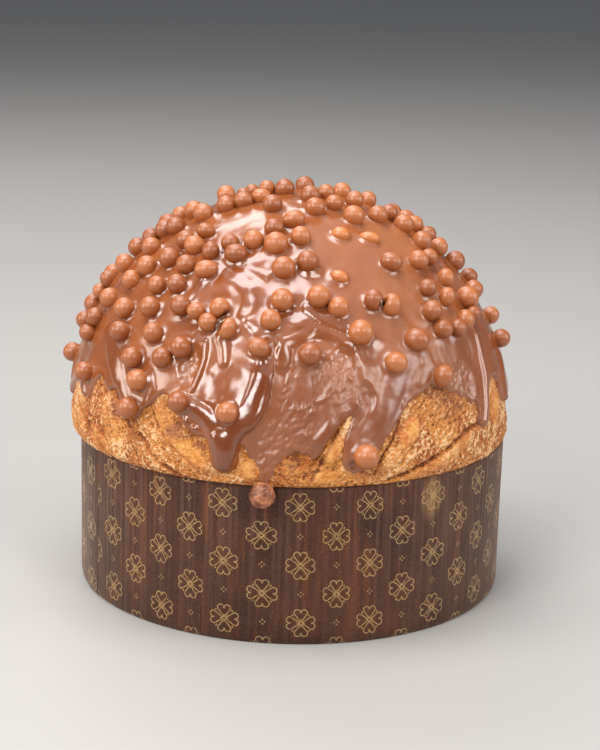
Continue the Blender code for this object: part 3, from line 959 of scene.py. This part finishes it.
# Where the coating has set satin, with painted sheen lightening its colour higher up: pixel, two radii in
# pixels, and how dull
SATIN = (
    (312, 408, 42, 56, 1.0), (372, 415, 40, 50, 1.0), (415, 372, 46, 44, 1.0), (270, 452, 30, 30, 0.8),
    (405, 300, 60, 44, 0.7), (385, 232, 60, 44, 0.8), (458, 345, 36, 66, 0.8), (330, 210, 30, 24, 0.4),
)
# Where it lies in soft folds: pixel, two radii in pixels, and how much
FOLDED = ((262, 300, 95, 91, 1.0),)
FOLDED_ELSEWHERE = 0.25
COATING_SPACING = 0.00078
COATING_COLUMNS = 704
COATING_THICKNESS = 0.0004
LEAST_THICKNESS = 0.0006
FILM_THICKNESS = 0.0005
EDGE_ROUNDING = 0.0011
FILM_ROUNDING = 0.0010
EDGE_OVERLAP = 0.0010
FILLET_HEIGHT = 0.0010
FILLET_REACH = 0.0009


def flow_heights(places):
    """How far flows raise the coating at flat places, with soft valleys where they meet."""
    total = np.zeros(len(places))
    for height, points in FLOWS:
        rows = np.array(points)
        line, pixel = flat_places(rows[:, :2])
        widths = rows[:, 2] * pixel
        deepest = np.full(len(places), -1.0)
        for start, end, wide, narrow in zip(line[:-1], line[1:], widths[:-1], widths[1:]):
            along, away = beside_segment(places, start, end)
            deepest = np.maximum(deepest, 1 - length(away) / (wide + (narrow - wide) * along))
        inside = np.clip(deepest, 0, 1)
        total += (height * (1 - (1 - inside) ** 2) * smooth_step(inside * 2)) ** 3
    return total ** (1 / 3) * MM


def ledge_heights(places):
    """How far the steep sides raise the coating on their right."""
    raised = np.zeros(len(places))
    for height, roundness, reach, points in LEDGES:
        line, _ = flat_places(points)
        nearest = np.full(len(places), FAR)
        along_line = np.zeros(len(places))
        right_of = np.zeros(len(places), bool)
        for index, (start, end) in enumerate(zip(line[:-1], line[1:])):
            along, away = beside_segment(places, start, end)
            distance = length(away)
            closer = distance < nearest
            nearest[closer] = distance[closer]
            along_line[closer] = (index + along[closer]) / (len(line) - 1)
            right_of[closer] = np.cross(end - start, away[closer]) < 0
        profile = quarter_round(nearest / (roundness * MM)) * np.exp(-((nearest / (reach * MM)) ** 2))
        ends = smooth_step(along_line / 0.22) * smooth_step((1.02 - along_line) / 0.12)
        raised = np.maximum(raised, np.where(right_of, height * MM * profile * ends, 0))
    return raised


def quarter_round(way_in):
    """Height of a rounded edge, 0 at the edge and 1 from one radius inside."""
    return np.sqrt(1 - (1 - np.clip(way_in, 0, 1)) ** 2)


def pixel_spots(places, spots, blur):
    """The strongest of soft spots at each place. A spot is a pixel, two radii in pixels and a strength."""
    rows = np.array(spots, float)
    share = np.zeros(len(places))
    for row, middle, pixel in zip(rows, *flat_places(rows[:, :2])):
        away = length((places - middle) / (row[2:4] * pixel))
        share = np.maximum(share, row[4] * smooth_step((1 + blur / 2 - away) / blur))
    return share


def ball_fillets(points, balls):
    """How far the coating climbs up round each ball."""
    climb = np.zeros(len(points))
    for ball in balls:
        away = length(points - ball.centre)
        near = away < 0.009
        lift = ball.offset - 0.0005
        contact = math.sqrt(max(ball.sizes.mean() ** 2 - lift**2, 0))
        gap = np.sqrt(np.clip(away[near] ** 2 - lift**2, 0, None)) - contact
        climb[near] = np.maximum(climb[near], FILLET_HEIGHT * np.exp(-np.clip(gap, 0, None) / FILLET_REACH))
    return climb


def coating_waves(rough, places, warped, satin, smooth):
    """Soft folds, waves and runs of the coating."""
    height = rough[:, 2]
    folded = FOLDED_ELSEWHERE + (1 - FOLDED_ELSEWHERE) * pixel_spots(places, FOLDED, 0.6)
    stretched = stacked(places[:, 0] / 0.014, places[:, 1] / 0.024, 0)
    waves = layered_noise(rough / 0.016, SEED + 20, 2) * 0.0006
    waves += noise(stretched + 7, SEED + 25) * 0.0006 * smooth_step((0.138 - height) / 0.03)
    runs = noise(stacked(warped[:, 0] / 0.0065, warped[:, 1] / 0.020, 3), SEED + 26)
    run_share = smooth_step(layered_noise(rough / 0.03, SEED + 27, 2) * 2.5 + 0.3)
    run_share *= smooth_step((0.13 - height) / 0.03) * (1 - folded) * (1 - smooth)
    waves -= 0.0005 * np.abs(runs) * run_share
    bent = rough + 0.004 * stacked(*(noise(rough / 0.011, SEED + step) for step in (31, 32, 33)))
    bent[:, 2] *= 0.75
    folds = noise(bent / 0.0090, SEED + 28) + 0.30 * noise(rough / 0.0052, SEED + 29)
    waves += folds * 0.0013 * folded * (1 - 0.65 * smooth)
    uneven = noise(bent / 0.013, SEED + 34) * 0.0008 + layered_noise(rough / 0.0042, SEED + 35, 2) * 0.00016
    return waves + uneven * satin + layered_noise(rough / 0.0055, SEED + 30, 2) * 0.00012


def make_coating(balls, material):
    ways = np.arange(-0.0045, MERIDIAN_WAY[-1] - COATING_SPACING, COATING_SPACING)
    heights = np.where(ways < 0, DOME_LEVEL + ways, np.interp(ways, MERIDIAN_WAY, MERIDIAN_HEIGHT))
    widths = dome_radius(heights)
    bearing, height, triangles, last = ring_mesh(heights, widths, COATING_COLUMNS, COATING_SPACING)
    places = unrolled(bearing, height)
    rough = dome_points(bearing, height, 0.0)
    front = (rough - CAMERA_PLACE) @ CAMERA_AHEAD < 0.80
    warped = places + 0.0010 * stacked(noise(rough / 0.008, SEED + 15), noise(rough / 0.008, SEED + 16))

    def in_front(values):
        spaced = np.zeros(len(places))
        spaced[front] = values
        return spaced

    raised = in_front(np.cbrt(flow_heights(warped[front]) ** 3 + ledge_heights(places[front]) ** 3))
    film = in_front(pixel_spots(warped[front], FILMS, 0.7))
    # Satin share: rougher and uneven, with painted sheen in its colour higher up
    satin = in_front(pixel_spots(warped[front], SATIN, 0.8))
    smooth = in_front(pixel_spots(warped[front], SMOOTH, 0.6))
    dips = in_front(pixel_spots(warped[front], DIPS, 0.9) * MM)
    low = height < 0.112
    distance = np.full(len(places), 0.05)
    distance[low] = edge_distance(places[low], edge_line())
    torn = 0.4 + layered_noise(rough[low] / 0.0028, SEED + 42, 3)
    distance[low] -= torn * film[low] * 0.0016
    crust = bread_surface(bearing, height)["offset"]
    level = COATING_THICKNESS + raised + coating_waves(rough, places, warped, satin, smooth) - dips
    level += ball_fillets(dome_points(bearing, height, COATING_THICKNESS), balls)
    crinkle = layered_noise(rough / 0.0036, SEED + 39, 2) * 0.0003
    crinkle += (cells(rough / 0.0017, SEED + 40) - 0.5) * 0.0006
    thin = FILM_THICKNESS + crinkle + raised * 0.3
    thick = np.maximum(level - crust, LEAST_THICKNESS) * (1 - film) + np.maximum(thin, 0.0001) * film
    rounding = quarter_round(distance / (EDGE_ROUNDING + FILM_ROUNDING * film))
    offset = crust + np.where(distance > 0, thick * rounding, distance * 1.2) - 0.00012
    keep = (distance[triangles] > -EDGE_OVERLAP).any(axis=1)
    apex = dome_points(0.0, DOME_LEVEL + DOME_RISE, offset[-last[1]:].mean())
    points, triangles = capped(dome_points(bearing, height, offset), triangles[keep], last, apex)
    # thick: share of raised flow, glossier and darkened by painted shade in the material
    painted = {"film": film, "satin": satin, "thick": np.clip(raised / 0.002, 0, 1)}
    painted = {key: np.append(values, 0) for key, values in painted.items()}
    make_piece("poured_coating", points, triangles, material, *COATING, **painted)


DROP_BEARING = math.radians(-6.3)
DROP_LEVEL = 0.0588
DROP_REACH = 0.0901
DROP_RADIUS = 0.0045


def make_drop(material):
    """The rough lump that hangs in front of the case's rim."""
    shape, triangles = ball_shape(5)
    right, back, up = shape.T
    lumps = 1 + 0.16 * noise(shape * 1.6, SEED + 91) + 0.10 * layered_noise(shape * 4.5, SEED + 92, 3)
    hollow = np.exp(-(((right - 0.25) / 0.35) ** 2 + ((up - 0.1) / 0.3) ** 2)) * (back < 0)
    points = shape * (lumps - 0.16 * hollow)[:, None] * DROP_RADIUS
    points[:, 2] *= np.where(up > 0, 1.12, 0.95)
    points += around(DROP_REACH, DROP_BEARING, DROP_LEVEL)
    make_piece("rough_drop", points, triangles, material, *COATING)


# Bread: raised plates of crust as pixel, two radii in pixels, tilt of the first in degrees, height in
# millimetres and how smooth and golden they are
PLATES = (
    (412, 431, 19, 9, 70, 0.9, 1.0), (334, 452, 20, 8, 62, 0.8, 0.9), (328, 478, 18, 7, 8, 0.5, 0.8),
    (250, 470, 13, 11, 0, 0.6, 0.9), (190, 456, 20, 11, -25, 0.7, 0.7),
    (166, 428, 22, 11, -60, 0.8, 0.5), (108, 420, 22, 9, -65, 0.8, 0.3),
    (80, 415, 22, 5, -85, 0.6, 0.6), (497, 404, 24, 5, 85, 0.6, 0.8), (456, 453, 26, 6, 32, 0.6, 0.5),
    (430, 470, 22, 5, 22, 0.4, 0.4), (392, 462, 20, 6, 40, 0.5, 0.5), (135, 452, 22, 9, -35, 0.4, 0.0),
    (290, 470, 10, 9, 0, 0.4, 0.4), (95, 440, 16, 7, -50, 0.5, 0.6),
)
# Hollows between them: pixel, two radii, tilt, depth
HOLLOWS = (
    (140, 436, 15, 6, -55, 1.3), (200, 441, 12, 4, -10, 1.2), (437, 390, 12, 5, 0, 0.9),
    (300, 462, 9, 6, 0, 0.7), (318, 458, 14, 3, 60, 0.9), (370, 474, 12, 4, 5, 0.8),
    (213, 478, 12, 3, 0, 0.6),
)
# Folds: depth and half width in millimetres, then pixels along the fold
FOLDS = (
    (1.9, 0.65, (
        (482, 422), (468, 432), (460, 440), (447, 452), (432, 461), (420, 469), (405, 476), (390, 481))),
    (0.9, 0.6, ((112, 388), (118, 405), (126, 425), (140, 441), (156, 462), (178, 476))),
    (0.8, 0.5, ((76, 398), (84, 420), (98, 446), (112, 462))),
    (0.9, 0.6, ((345, 421), (337, 434), (329, 452), (320, 468), (312, 482))),
    (0.7, 0.5, ((400, 420), (395, 440), (383, 458), (376, 476))),
    (0.6, 0.45, ((150, 410), (160, 432), (176, 452), (198, 470))),
)
# Where chocolate soaked into the crust: pixel, two radii, tilt, strength
STAINS = (
    (458, 395, 28, 24, 0, 0.75), (112, 407, 7, 13, 15, 0.9), (176, 430, 18, 12, 0, 0.8),
    (138, 446, 22, 9, -40, 0.6), (262, 462, 14, 24, 0, 0.6), (205, 474, 22, 5, -10, 0.6),
    (370, 474, 20, 8, 0, 0.7), (345, 440, 6, 16, 30, 0.5), (466, 440, 20, 6, 35, 0.4),
    (436, 390, 14, 9, 0, 1.0), (198, 446, 12, 6, -20, 0.7), (112, 388, 16, 6, -40, 0.6),
    (157, 405, 16, 8, -40, 0.5), (420, 480, 20, 4, 20, 0.5), (300, 470, 14, 10, 0, 0.35),
    (404, 418, 14, 6, 55, 0.5),
)
CRUST_OFFSET = -0.0013
# Torn edges: seed, size of the tears in metres, their strength, what they add and the blur
PLATE_EDGE = (SEED + 3, 0.006, 0.35, 0.15, 0.45)
STAIN_EDGE = (SEED + 4, 0.008, 0.5, 0.4, 1.0)
CRUST_SPACING = 0.00068
CRUST_COLUMNS = 800
LOAF_FLOOR = 0.0015
LOAF_GAP = 0.0015


def pixel_ellipses(rows):
    """Flat middles, radii in metres, tilts and widenings of ellipses that are given in pixels."""
    table = np.array([row[:5] for row in rows], float)
    bearing, height, ahead = on_dome(table[:, :2])
    radii = table[:, 2:4] * (ahead / FOCAL_PIXELS)[:, None]
    widening = 1 / np.maximum(np.cos(bearing), 0.45)
    return zip(unrolled(bearing, height), radii, np.radians(table[:, 4]), widening)


def ragged_share(places, rough, ellipse, seed, size, strength, inset, blur):
    """Smooth share of an ellipse whose edge is torn by noise. Only places near it are worked out."""
    middle, radii, tilt, widening = ellipse
    along, beside = turned((places - middle) / (widening, 1), tilt)
    share = 1 - np.hypot(along / radii[0], beside / radii[1])
    near = share > -1.2
    torn = layered_noise(rough[near] / size + radii[0] * 900, seed, 2) * strength
    result = np.zeros(len(places))
    result[near] = smooth_step((share[near] + torn + inset) / blur)
    return result


def fibre_noise(places, seed, tilt):
    along, beside = turned(places, math.radians(tilt))
    flat = stacked(along / 0.006, beside / 0.0011, seed)
    return 1 - 2.6 * np.abs(layered_noise(flat, seed, 2))


def hidden_plates():
    """Plates of crust for the side that the camera doesn't see, by a seeded draw."""
    draw = random.Random(SEED + 50)
    plates = []
    for bearing in range(92, 270, 9):
        middle = unrolled(np.radians(bearing + draw.uniform(-3, 3)), draw.uniform(0.066, 0.084))
        radii = (draw.uniform(0.005, 0.011), draw.uniform(0.003, 0.005))
        ellipse = (middle, radii, draw.uniform(-1.2, 1.2), 1.0)
        plates.append((ellipse, draw.uniform(0.3, 0.9), draw.uniform(0, 1)))
    return plates


def all_patches(places):
    """Each plate and hollow: the flat places to use, its ellipse, its height in millimetres and its gloss."""
    for row, ellipse in zip(PLATES, pixel_ellipses(PLATES)):
        yield places, ellipse, row[5], row[6]
    for row, ellipse in zip(HOLLOWS, pixel_ellipses(HOLLOWS)):
        yield places, ellipse, -row[5], 0
    round_back = places + stacked(np.where(places[:, 0] < -0.2, LAP, 0), 0)
    for ellipse, height, golden in hidden_plates():
        yield round_back, ellipse, height, golden


def bread_surface(bearing, height):
    """The crust's offset from the dome, the painted shade of its pits and folds and the painted highlight of
    its raised parts, and the shares of plate and stain at each place.
    """
    places = unrolled(bearing, height)
    rough = dome_points(bearing, height, 0.0, tucked=True)
    offset = np.full(len(places), CRUST_OFFSET)
    plate = np.zeros(len(places))
    for near_places, ellipse, high, golden in all_patches(places):
        share = ragged_share(near_places, rough, ellipse, *PLATE_EDGE)
        offset += high * MM * share
        plate = np.maximum(plate, golden * share)
    hidden = smooth_step((np.abs(bearing) - 1.5) / 0.15)
    stain = hidden * smooth_step(layered_noise(rough / 0.02, SEED + 6, 3) * 3 - 0.1) * 0.7
    for row, ellipse in zip(STAINS, pixel_ellipses(STAINS)):
        share = ragged_share(places, rough, ellipse, *STAIN_EDGE)
        stain = np.maximum(stain, row[5] * share)
    band = smooth_step((0.118 - height) / 0.012)
    right = smooth_step(np.sin(bearing * 2) * 1.6 + 0.1)
    left = smooth_step(-np.sin(bearing * 2) * 1.6 + 0.1)
    crumb = cells(rough / 0.0017, SEED + 70) - 0.48
    threads = fibre_noise(places, SEED + 61, 40) * right + fibre_noise(places, SEED + 62, -50) * left
    threads += (1 - right - left) * layered_noise(rough / 0.0022, SEED + 63, 2)
    lumps = layered_noise(rough / 0.011, SEED + 64, 3)
    fine = (0.00075 * crumb + 0.00042 * (threads - 0.3)) * (1 - 0.72 * plate)
    offset += (0.0009 * lumps + fine) * band
    lip = smooth_step((CASE_HEIGHT + 0.0035 - height) / 0.0035)
    offset = offset * (1 - lip) + np.maximum(offset, -0.0010) * lip
    wander = 1 + 0.4 * layered_noise(rough / 0.005, SEED + 8, 2)
    folds = np.zeros(len(places))
    for deep, half_width, points in FOLDS:
        distance, _ = to_line(places, flat_places(points)[0])
        share = np.exp(-((distance / (half_width * MM * wander)) ** 2))
        offset -= deep * MM * share * band
        folds = np.maximum(folds, share)
    # Painted shade and highlight: darker in pits and folds, lighter on raised crumb, threads and lumps
    shade = 0.5 + 0.50 * crumb + 0.36 * (threads - 0.3) + 0.40 * lumps - 0.6 * folds
    return {"offset": offset, "relief_shade_and_highlight": np.clip(shade, 0, 1), "plate": plate, "stain": stain}


def make_bread(material):
    """The loaf: crust over the rim, a plain top under the coating and a plain body inside the case."""
    heights = np.append(np.arange(CASE_HEIGHT + 0.0003, 0.106, CRUST_SPACING), [0.112, 0.124, 0.138, 0.149])
    widths = dome_radius(heights, tucked=True)
    bearing, height, triangles, last = ring_mesh(heights, widths, CRUST_COLUMNS, CRUST_SPACING)
    surface = bread_surface(bearing, height)
    offset = surface.pop("offset") - smooth_step((height - 0.100) / 0.008) * 0.0012
    points = dome_points(bearing, height, offset, tucked=True)
    points, triangles = capped(points, triangles, last, dome_points(0.0, 0.1525, -0.003))
    lower = (len(points), CRUST_COLUMNS)
    upper = (len(points) + CRUST_COLUMNS, CRUST_COLUMNS)
    ring = bearing[:CRUST_COLUMNS]
    body = [around(CASE_RADIUS - LOAF_GAP, ring, level) for level in (LOAF_FLOOR, CASE_HEIGHT + 0.0002)]
    points = np.vstack([points, *body])
    triangles = np.vstack([triangles, between(*lower, *upper), between(*upper, 0, CRUST_COLUMNS)])
    points, triangles = capped(points, triangles, lower, (0, 0, LOAF_FLOOR), upwards=False)
    plain = np.zeros(len(points) - len(bearing))
    painted = {key: np.append(values, plain) for key, values in surface.items()}
    make_piece("loaf", points, triangles, material, "bread_crust", "bread", **painted)


# Paper case

FLUTES = 214
CASE_COLUMNS = FLUTES * 8
CASE_INNER = CASE_RADIUS - 0.0011
CASE_FLOOR = 0.0008
CASE_OUTSIDE = CASE_RADIUS - 0.00045
RIM_WAVE = 0.00012
FOOT_TUCK = 0.0009
PAPER_OVERLAP = 0.00022


def flute_ripple(bearing, height):
    """Shallow uneven flutes of the paper, deeper towards the rim."""
    flat = stacked(bearing * CASE_RADIUS / 0.0017, height / 0.060, 0).reshape(-1, 3)
    uneven = noise(flat, SEED + 80).reshape(bearing.shape)
    regular = np.cos(bearing * FLUTES + 2.5 * np.sin(bearing * 9))
    return (0.00016 * uneven + 0.00007 * regular) * (0.35 + 0.65 * smooth_step((height - 0.015) / 0.045))


def make_case(material):
    """The case: outside with its foot tucked in, uneven rim, plain inside and floor."""
    turn = full_turn(CASE_COLUMNS)
    heights = np.array([0.0, 0.0003, 0.0009, *np.linspace(0.0022, CASE_HEIGHT - 0.0004, 20), CASE_HEIGHT])
    bearing, height = np.meshgrid(turn, heights)
    tuck = FOOT_TUCK * (1 - smooth_step(height / 0.0016))
    past_seam = smooth_step((math.radians(SEAM_BEARING) - bearing) / 0.004)
    overlap = past_seam * smooth_step((bearing + 1.25) / 0.1)
    radius = CASE_OUTSIDE + flute_ripple(bearing, height) - tuck + PAPER_OVERLAP * overlap
    rim = CASE_HEIGHT - RIM_WAVE + RIM_WAVE * np.sin(turn * 31 + 2 * np.sin(turn * 7))
    height[-1] = rim
    outside = around(radius, bearing, height).reshape(-1, 3)
    points = np.vstack([outside, around(CASE_INNER, turn, rim), around(CASE_INNER, turn, CASE_FLOOR)])
    starts = np.arange(len(heights) + 2) * CASE_COLUMNS
    triangles = np.vstack([
        between(low, CASE_COLUMNS, high, CASE_COLUMNS) for low, high in zip(starts[:-1], starts[1:])
    ])
    points, triangles = capped(points, triangles, (starts[-1], CASE_COLUMNS), (0, 0, CASE_FLOOR))
    points, triangles = capped(points, triangles, (0, CASE_COLUMNS), (0, 0, 0), upwards=False)
    make_piece("case_wall", points, triangles, material, "case_paper", "paper_case")


# Stage: each light's name, place, level that it points at, width and length, watts and colour
LIGHTS = (
    ("overhead", (-0.17, -0.08, 1.10), 0.10, (0.54, 0.80), 10, (0.97, 0.985, 1.0)),
    ("behind", (-0.42, 0.95, 1.15), 0.10, (0.8, 0.5), 7, (1.0, 0.98, 0.96)),
    ("ceiling", (0.05, 0.05, 1.6), 0.10, (2.6, 2.6), 14, (1.0, 0.98, 0.96)),
    ("front_left", (-0.85, -1.4, 1.15), 0.08, (0.80, 0.68), 20, (1.0, 0.985, 0.97)),
    ("front_right", (0.95, -1.35, 1.10), 0.08, (0.55, 0.6), 10, (1.0, 0.96, 0.92)),
    ("left", (-1.5, -0.3, 0.6), 0.08, (0.7, 0.7), 11, (1.0, 0.92, 0.84)),
    ("right", (1.5, -0.3, 0.6), 0.08, (0.8, 0.8), 10.5, (1.0, 0.97, 0.95)),
)


def make_floor():
    bpy.ops.mesh.primitive_plane_add(size=12)
    floor = bpy.context.object
    floor.name = "floor"
    floor.data.materials.append(Nodes("pale_floor").finish((0.40, 0.385, 0.37), 0.45, 0.3))


def make_lights():
    world = bpy.data.worlds.new("studio")
    world.use_nodes = True
    background = world.node_tree.nodes["Background"]
    background.inputs["Color"].default_value = (0.80, 0.86, 0.93, 1)
    background.inputs["Strength"].default_value = 0.19
    bpy.context.scene.world = world
    for name, place, level, size, watts, colour in LIGHTS:
        data = bpy.data.lights.new(name, "AREA")
        data.shape = "RECTANGLE"
        data.size, data.size_y = size
        data.energy = watts
        data.color = colour
        lamp = placed(name, data)
        lamp.location = place
        lamp.rotation_euler = (Vector((0, 0, level)) - Vector(place)).to_track_quat("-Z", "Y").to_euler()
    bpy.context.scene.view_settings.view_transform = "Standard"


make_camera()
make_floor()
make_lights()
all_balls = placed_balls()
all_balls = settle(all_balls + hidden_balls(all_balls))
ball_look = ball_material()
make_balls("round_balls", [ball for ball in all_balls if not ball.oval], ball_look)
make_balls("oval_balls", [ball for ball in all_balls if ball.oval], ball_look)
make_coating(all_balls, chocolate_material())
make_drop(drop_material())
make_bread(crust_material())
make_case(paper_material())
